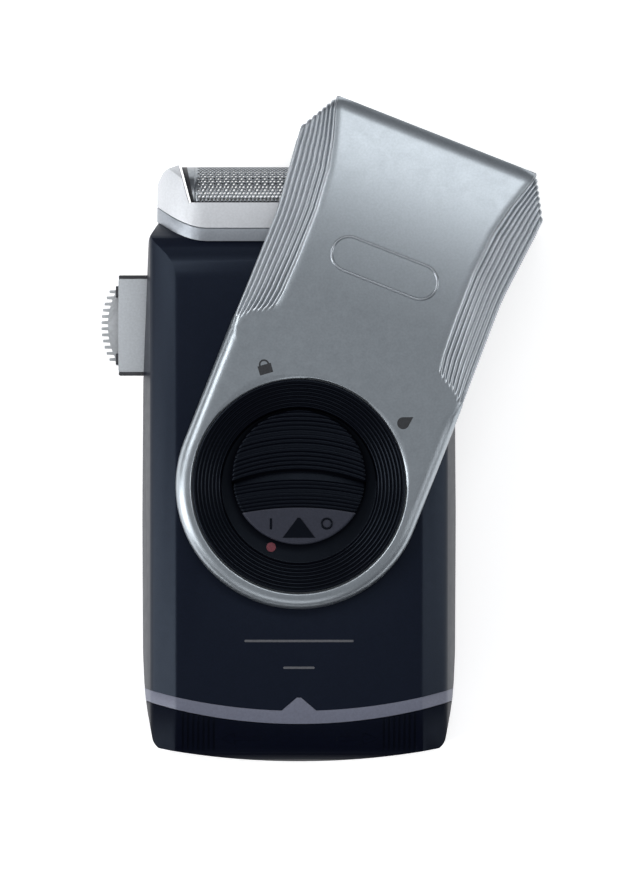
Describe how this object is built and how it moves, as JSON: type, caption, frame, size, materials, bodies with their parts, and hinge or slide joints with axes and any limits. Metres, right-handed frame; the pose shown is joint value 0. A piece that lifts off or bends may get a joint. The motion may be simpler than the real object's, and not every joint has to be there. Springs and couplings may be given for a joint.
{
  "type": "foil shaver",
  "caption": "Pocket battery foil shaver: flat rounded body, arched foil head, sliding side trimmer, thumb switch in a hub and a hooded cover that twists over the head.",
  "frame": {"origin": "on the flat rear face, straight below the axis that the twist cap turns about", "axes": "+X to the right seen from the front, +Y along the body towards the shaving head, +Z out of the front panel"},
  "size_m": [0.0844, 0.1269, 0.0282],
  "materials": {
    "front_casing": "satin",
    "rear_casing": "satin",
    "rear_pads": "matte",
    "casing_gasket": "matte",
    "casing_screws": "satin",
    "accent_band": "satin",
    "chassis": "matte",
    "left_cell": "satin",
    "right_cell": "satin",
    "upper_contacts": "satin",
    "hub_ring": "satin",
    "hub_screws": "satin",
    "hub_gasket": "matte",
    "friction_washer": "satin",
    "switch_dot": "gloss",
    "motor_can": "satin",
    "motor_end_cap": "matte",
    "motor_terminals": "satin",
    "motor_magnets": "matte",
    "head_deck": "matte",
    "collar": "satin",
    "drive_boot": "matte",
    "bridge_flexures": "matte",
    "switch_leaf_contacts": "satin",
    "rocker_pin": "satin",
    "motor_shaft": "polished",
    "armature": "satin",
    "commutator": "satin",
    "eccentric": "matte",
    "drive_bridge": "matte",
    "drive_pin": "polished",
    "cutter_spring": "polished",
    "cutter_carrier": "matte",
    "cutter_blades": "polished",
    "shaving_foil": "satin",
    "foil_cartridge": "matte",
    "foil_frame": "satin",
    "twist_cap": "satin",
    "switch_knob": "satin",
    "switch_slider": "matte",
    "switch_contact": "satin",
    "dust_plate": "matte",
    "trimmer_carriage": "satin",
    "trimmer_cover": "satin",
    "trimmer_comb": "satin",
    "trimmer_brackets": "matte",
    "trimmer_thumb_slide": "satin",
    "trimmer_blade": "satin",
    "rocker_lever": "matte",
    "cap_insert": "matte",
    "cap_seal": "matte",
    "cell_springs": "polished",
    "cap_contact": "satin",
    "battery_cap": "satin"
  },
  "bodies": {
    "housing": {"front_casing": "front_casing", "rear_casing": "rear_casing", "rear_pads": "rear_pads", "casing_gasket": "casing_gasket", "casing_screws": "casing_screws", "accent_band": "accent_band", "chassis": "chassis", "left_cell": "left_cell", "right_cell": "right_cell", "upper_contacts": "upper_contacts", "hub_ring": "hub_ring", "hub_screws": "hub_screws", "hub_gasket": "hub_gasket", "friction_washer": "friction_washer", "switch_dot": "switch_dot", "motor_can": "motor_can", "motor_end_cap": "motor_end_cap", "motor_terminals": "motor_terminals", "motor_magnets": "motor_magnets", "head_deck": "head_deck", "collar": "collar", "drive_boot": "drive_boot", "bridge_flexures": "bridge_flexures", "switch_leaf_contacts": "switch_leaf_contacts", "rocker_pin": "rocker_pin"},
    "motor_rotor": {"motor_shaft": "motor_shaft", "armature": "armature", "commutator": "commutator", "eccentric": "eccentric"},
    "bridge": {"drive_bridge": "drive_bridge", "drive_pin": "drive_pin", "cutter_spring": "cutter_spring"},
    "cutter": {"cutter_carrier": "cutter_carrier", "cutter_blades": "cutter_blades"},
    "foil_unit": {"shaving_foil": "shaving_foil", "foil_cartridge": "foil_cartridge"},
    "head_frame": {"foil_frame": "foil_frame"},
    "cover": {"twist_cap": "twist_cap"},
    "switch": {"switch_knob": "switch_knob", "switch_slider": "switch_slider", "switch_contact": "switch_contact", "dust_plate": "dust_plate"},
    "trimmer": {"trimmer_carriage": "trimmer_carriage", "trimmer_cover": "trimmer_cover", "trimmer_comb": "trimmer_comb", "trimmer_brackets": "trimmer_brackets", "trimmer_thumb_slide": "trimmer_thumb_slide"},
    "moving_blade": {"trimmer_blade": "trimmer_blade"},
    "rocker": {"rocker_lever": "rocker_lever"},
    "cap_carrier": {"cap_insert": "cap_insert", "cap_seal": "cap_seal", "cell_springs": "cell_springs", "cap_contact": "cap_contact"},
    "end_cap": {"battery_cap": "battery_cap"}
  },
  "joints": [
    {"name": "cap_twist", "type": "hinge", "parent": "housing", "child": "cover", "pos_m": [0, 0, 0.0262], "axis": [0, 0, 1], "range_deg": [-158.5, 21.5]},
    {"name": "switch_slide", "type": "slide", "parent": "housing", "child": "switch", "axis": [0, 1, 0], "range_m": [-0.0032, 0]},
    {"name": "trimmer_slide", "type": "slide", "parent": "housing", "child": "trimmer", "axis": [1, 0, 0], "range_m": [0, 0.0089]},
    {"name": "motor_spin", "type": "hinge", "parent": "housing", "child": "motor_rotor", "pos_m": [0, 0.012, 0.0123], "axis": [0, 1, 0], "continuous": true},
    {"name": "cutter_oscillation", "type": "slide", "parent": "housing", "child": "bridge", "axis": [1, 0, 0], "range_m": [-0.001, 0.001], "stiffness_N_per_m": 300, "deforming": ["bridge_flexures", "drive_boot"]},
    {"name": "foil_frame_lift", "type": "slide", "parent": "housing", "child": "head_frame", "axis": [0, -1, 0], "range_m": [-0.004, 0]},
    {"name": "foil_float", "type": "slide", "parent": "head_frame", "child": "foil_unit", "axis": [0, -1, 0], "range_m": [0, 0.001], "stiffness_N_per_m": 400},
    {"name": "cutter_float", "type": "slide", "parent": "bridge", "child": "cutter", "axis": [0, -1, 0], "range_m": [0, 0.001], "deforming": ["cutter_spring"]},
    {"name": "rocker_turn", "type": "hinge", "parent": "housing", "child": "rocker", "pos_m": [-0.017, 0.0351, 0.006], "axis": [0, 0, 1], "range_deg": [-12.8, 12.8]},
    {"name": "trimmer_blade_slide", "type": "slide", "parent": "trimmer", "child": "moving_blade", "axis": [0, 1, 0], "range_m": [-0.0009, 0.0009]},
    {"name": "battery_cap_pull", "type": "slide", "parent": "housing", "child": "cap_carrier", "axis": [0, -1, 0], "range_m": [0, 0.01], "deforming": ["cell_springs"]},
    {"name": "battery_cap_lock", "type": "hinge", "parent": "cap_carrier", "child": "end_cap", "pos_m": [0, 0.0557, 0.012], "axis": [0, 0, 1], "range_deg": [-1.2, 0]}
  ],
  "couplings": [
    {"joint": "rocker_turn", "follows": "cutter_oscillation", "rad_per_m": -222.22},
    {"joint": "trimmer_blade_slide", "follows": "cutter_oscillation", "ratio": 0.88889},
    {"joint": "cutter_float", "follows": "foil_float", "ratio": 1}
  ]
}
